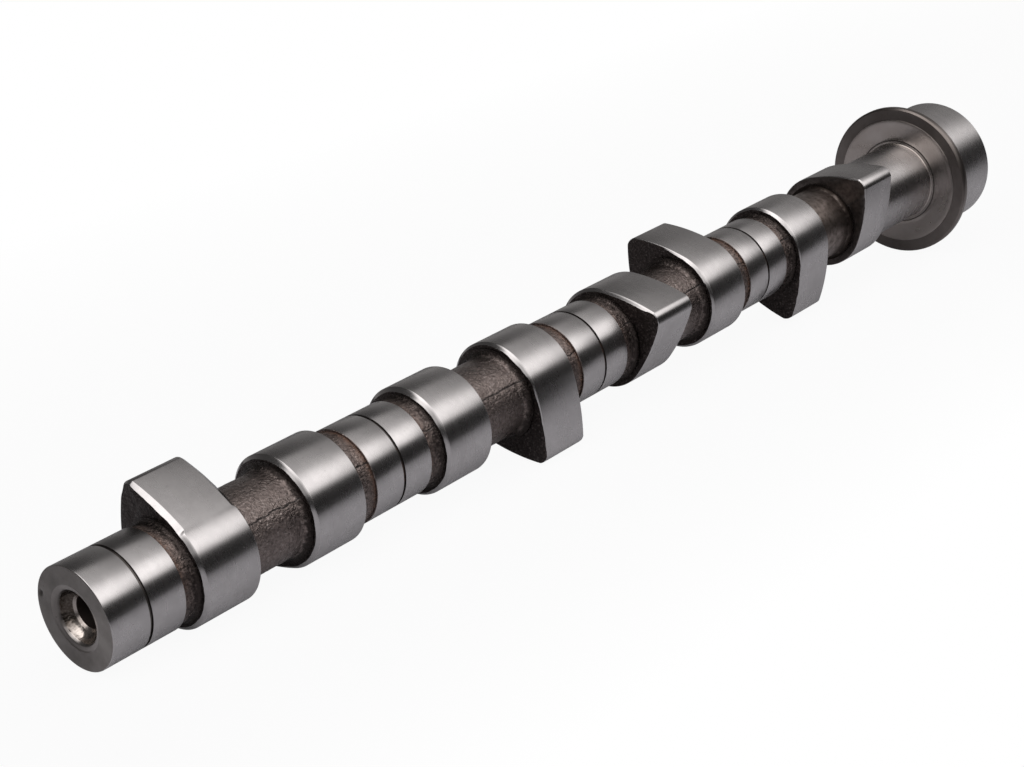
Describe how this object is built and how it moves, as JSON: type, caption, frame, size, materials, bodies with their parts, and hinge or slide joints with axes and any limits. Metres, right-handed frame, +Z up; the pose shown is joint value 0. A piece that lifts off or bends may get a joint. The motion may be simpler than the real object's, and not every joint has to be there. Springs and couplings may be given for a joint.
{
  "type": "camshaft",
  "caption": "Overhead camshaft in a single casting: ground cam lobes and bearing journals on a rough cast shaft, with a thrust flange and a large drive nose.",
  "frame": {"origin": "on the shaft's axis, in the middle of journal 1, the bearing at the plain end", "axes": "+X along the shaft, towards the thrust flange and the drive nose; +Z up, with the dowel hole of the drive end above the axis; +Y completes the right-handed set"},
  "size_m": [0.3834, 0.051, 0.0511],
  "materials": {
    "ground_iron": "ground bright on the journals, cams, thrust ring and nose; as cast, dark and grainy, on the waists and the cams' side faces"
  },
  "bodies": {
    "root": {"camshaft": "ground_iron"}
  },
  "joints": []
}
